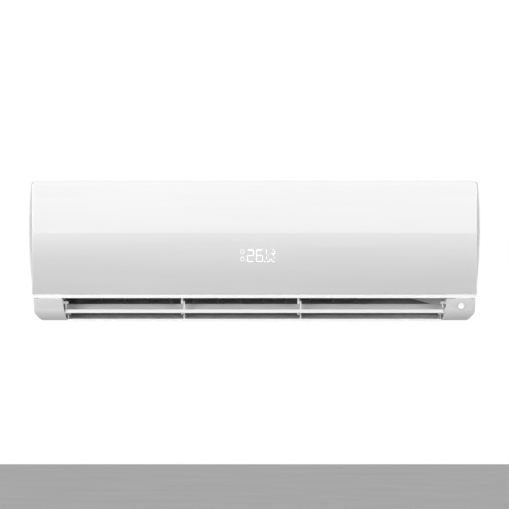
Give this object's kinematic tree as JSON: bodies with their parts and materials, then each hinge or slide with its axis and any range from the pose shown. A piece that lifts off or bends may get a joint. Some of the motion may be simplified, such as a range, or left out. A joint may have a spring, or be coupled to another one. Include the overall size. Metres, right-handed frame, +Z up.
{
  "type": "wall-mounted air conditioner indoor unit",
  "caption": "White wall-hung indoor unit of a split air conditioner with a bowed lift-up front panel, two louvre flaps, swinging vanes, cross-flow fan, folded coil and wall plate",
  "frame": {"origin": "back face of the wall plate, at mid width and mid height of the unit", "axes": "+X to the right as the unit is looked at, +Y into the wall, +Z up; the unit stands out towards -Y"},
  "size_m": [0.9004, 0.205, 0.2809],
  "materials": {
    "casing_plastic": "satin white moulding",
    "panel_plastic": "smooth pale silver-white, slightly glossy",
    "satin_strip": "bright satin strip",
    "flap_plastic": "glossy off-white",
    "hanger_plastic": "plain white moulding",
    "inner_plastic": "dark grey moulding, fine grain",
    "fan_plastic": "near-black glass-filled moulding",
    "vane_plastic": "mid grey moulding",
    "button_plastic": "grey moulding",
    "terminal_plastic": "black moulding",
    "receiver_window": "milky gloss window",
    "filter_net": "grey woven net in a moulded frame",
    "galvanised_plate": "galvanised, faint spangle",
    "coil_fins": "fine bare fins",
    "coil_copper": "plate with copper bends",
    "pipe_copper": "drawn copper",
    "flare_brass": "machined",
    "bright_steel": "ground",
    "motor_shell": "zinc-grey shell",
    "black_rubber": "moulded rubber",
    "circuit_board": "green laminate"
  },
  "bodies": {
    "unit": {"wall_plate": "galvanised_plate", "rear_chassis": "inner_plastic", "front_frame": "casing_plastic", "receiver_lens": "receiver_window", "auto_button_switch": "circuit_board", "drain_pan": "inner_plastic", "drain_plug": "black_rubber", "coil_front_slab": "coil_fins", "coil_upper_slab": "coil_fins", "coil_rear_slab": "coil_fins", "coil_end_left": "coil_copper", "coil_end_right": "coil_copper", "gas_pipe": "pipe_copper", "liquid_pipe": "pipe_copper", "gas_flare_nut": "flare_brass", "liquid_flare_nut": "flare_brass", "fan_bearing": "black_rubber", "fan_motor": "motor_shell", "motor_clamp": "inner_plastic", "control_box": "inner_plastic", "control_box_cover": "galvanised_plate", "main_circuit_board": "circuit_board", "terminal_block": "terminal_plastic", "flap_hanger_left": "hanger_plastic", "flap_hanger_right": "hanger_plastic", "flap_bracket_left": "hanger_plastic", "flap_bracket_right": "hanger_plastic", "upper_flap_motor": "motor_shell", "lower_flap_motor": "motor_shell", "vane_rail_left": "inner_plastic", "vane_motor_left": "motor_shell", "vane_rail_right": "inner_plastic", "vane_motor_right": "motor_shell"},
    "panel": {"front_panel": "panel_plastic", "panel_trim_strip": "satin_strip", "display_board": "circuit_board"},
    "filter_left": {"air_filter_left": "filter_net"},
    "filter_right": {"air_filter_right": "filter_net"},
    "upper_flap_body": {"upper_flap": "flap_plastic"},
    "lower_flap_body": {"lower_flap": "flap_plastic"},
    "fan": {"crossflow_fan": "fan_plastic", "motor_shaft": "bright_steel"},
    "button": {"auto_button": "button_plastic"},
    "tie_left": {"vane_tie_bar_left": "vane_plastic"},
    "tie_right": {"vane_tie_bar_right": "vane_plastic"},
    "vane_left_1_body": {"vane_left_1": "vane_plastic"},
    "vane_left_2_body": {"vane_left_2": "vane_plastic"},
    "vane_left_3_body": {"vane_left_3": "vane_plastic"},
    "vane_left_4_body": {"vane_left_4": "vane_plastic"},
    "vane_left_5_body": {"vane_left_5": "vane_plastic"},
    "vane_left_6_body": {"vane_left_6": "vane_plastic"},
    "vane_left_7_body": {"vane_left_7": "vane_plastic"},
    "vane_right_1_body": {"vane_right_1": "vane_plastic"},
    "vane_right_2_body": {"vane_right_2": "vane_plastic"},
    "vane_right_3_body": {"vane_right_3": "vane_plastic"},
    "vane_right_4_body": {"vane_right_4": "vane_plastic"},
    "vane_right_5_body": {"vane_right_5": "vane_plastic"},
    "vane_right_6_body": {"vane_right_6": "vane_plastic"}
  },
  "joints": [
    {"name": "panel_hinge", "type": "hinge", "parent": "unit", "child": "panel", "pos_m": [0, -0.1912, 0.1328], "axis": [-1, 0, 0], "range_deg": [0, 60]},
    {"name": "filter_left_lift", "type": "slide", "parent": "unit", "child": "filter_left", "axis": [0, 0, 1], "range_m": [0, 0.06]},
    {"name": "filter_right_lift", "type": "slide", "parent": "unit", "child": "filter_right", "axis": [0, 0, 1], "range_m": [0, 0.06]},
    {"name": "upper_flap_hinge", "type": "hinge", "parent": "unit", "child": "upper_flap_body", "pos_m": [0, -0.1646, -0.103], "axis": [1, 0, 0], "range_deg": [-77, 10]},
    {"name": "lower_flap_hinge", "type": "hinge", "parent": "unit", "child": "lower_flap_body", "pos_m": [0, -0.1377, -0.1246], "axis": [1, 0, 0], "range_deg": [-24, 15]},
    {"name": "fan_spin", "type": "hinge", "parent": "unit", "child": "fan", "pos_m": [0, -0.088, -0.002], "axis": [1, 0, 0], "continuous": true},
    {"name": "button_press", "type": "slide", "parent": "unit", "child": "button", "axis": [0, 1, 0], "range_m": [0, 0.0015], "stiffness_N_per_m": 400},
    {"name": "vane_left_1_swing", "type": "hinge", "parent": "unit", "child": "vane_left_1_body", "pos_m": [-0.3548, -0.07986, -0.0916], "axis": [0, -0.8054, 0.5927], "range_deg": [-35, 35]},
    {"name": "vane_left_2_swing", "type": "hinge", "parent": "unit", "child": "vane_left_2_body", "pos_m": [-0.3082, -0.07986, -0.0916], "axis": [0, -0.8054, 0.5927], "range_deg": [-35, 35]},
    {"name": "vane_left_3_swing", "type": "hinge", "parent": "unit", "child": "vane_left_3_body", "pos_m": [-0.2616, -0.07986, -0.0916], "axis": [0, -0.8054, 0.5927], "range_deg": [-35, 35]},
    {"name": "vane_left_4_swing", "type": "hinge", "parent": "unit", "child": "vane_left_4_body", "pos_m": [-0.215, -0.07986, -0.0916], "axis": [0, -0.8054, 0.5927], "range_deg": [-35, 35]},
    {"name": "vane_left_5_swing", "type": "hinge", "parent": "unit", "child": "vane_left_5_body", "pos_m": [-0.1684, -0.07986, -0.0916], "axis": [0, -0.8054, 0.5927], "range_deg": [-35, 35]},
    {"name": "vane_left_6_swing", "type": "hinge", "parent": "unit", "child": "vane_left_6_body", "pos_m": [-0.1218, -0.07986, -0.0916], "axis": [0, -0.8054, 0.5927], "range_deg": [-35, 35]},
    {"name": "vane_left_7_swing", "type": "hinge", "parent": "unit", "child": "vane_left_7_body", "pos_m": [-0.0752, -0.07986, -0.0916], "axis": [0, -0.8054, 0.5927], "range_deg": [-35, 35]},
    {"name": "tie_left_pivot", "type": "hinge", "parent": "vane_left_1_body", "child": "tie_left", "pos_m": [-0.3548, -0.08875, -0.10368], "axis": [0, -0.8054, 0.5927], "range_deg": [-35, 35]},
    {"name": "vane_right_1_swing", "type": "hinge", "parent": "unit", "child": "vane_right_1_body", "pos_m": [-0.0286, -0.07986, -0.0916], "axis": [0, -0.8054, 0.5927], "range_deg": [-35, 35]},
    {"name": "vane_right_2_swing", "type": "hinge", "parent": "unit", "child": "vane_right_2_body", "pos_m": [0.018, -0.07986, -0.0916], "axis": [0, -0.8054, 0.5927], "range_deg": [-35, 35]},
    {"name": "vane_right_3_swing", "type": "hinge", "parent": "unit", "child": "vane_right_3_body", "pos_m": [0.0646, -0.07986, -0.0916], "axis": [0, -0.8054, 0.5927], "range_deg": [-35, 35]},
    {"name": "vane_right_4_swing", "type": "hinge", "parent": "unit", "child": "vane_right_4_body", "pos_m": [0.1112, -0.07986, -0.0916], "axis": [0, -0.8054, 0.5927], "range_deg": [-35, 35]},
    {"name": "vane_right_5_swing", "type": "hinge", "parent": "unit", "child": "vane_right_5_body", "pos_m": [0.1578, -0.07986, -0.0916], "axis": [0, -0.8054, 0.5927], "range_deg": [-35, 35]},
    {"name": "vane_right_6_swing", "type": "hinge", "parent": "unit", "child": "vane_right_6_body", "pos_m": [0.2044, -0.07986, -0.0916], "axis": [0, -0.8054, 0.5927], "range_deg": [-35, 35]},
    {"name": "tie_right_pivot", "type": "hinge", "parent": "vane_right_1_body", "child": "tie_right", "pos_m": [-0.0286, -0.08875, -0.10368], "axis": [0, -0.8054, 0.5927], "range_deg": [-35, 35]}
  ],
  "couplings": [
    {"joint": "vane_left_2_swing", "follows": "vane_left_1_swing", "ratio": 1},
    {"joint": "vane_left_3_swing", "follows": "vane_left_1_swing", "ratio": 1},
    {"joint": "vane_left_4_swing", "follows": "vane_left_1_swing", "ratio": 1},
    {"joint": "vane_left_5_swing", "follows": "vane_left_1_swing", "ratio": 1},
    {"joint": "vane_left_6_swing", "follows": "vane_left_1_swing", "ratio": 1},
    {"joint": "vane_left_7_swing", "follows": "vane_left_1_swing", "ratio": 1},
    {"joint": "tie_left_pivot", "follows": "vane_left_1_swing", "ratio": -1},
    {"joint": "vane_right_2_swing", "follows": "vane_right_1_swing", "ratio": 1},
    {"joint": "vane_right_3_swing", "follows": "vane_right_1_swing", "ratio": 1},
    {"joint": "vane_right_4_swing", "follows": "vane_right_1_swing", "ratio": 1},
    {"joint": "vane_right_5_swing", "follows": "vane_right_1_swing", "ratio": 1},
    {"joint": "vane_right_6_swing", "follows": "vane_right_1_swing", "ratio": 1},
    {"joint": "tie_right_pivot", "follows": "vane_right_1_swing", "ratio": -1}
  ]
}
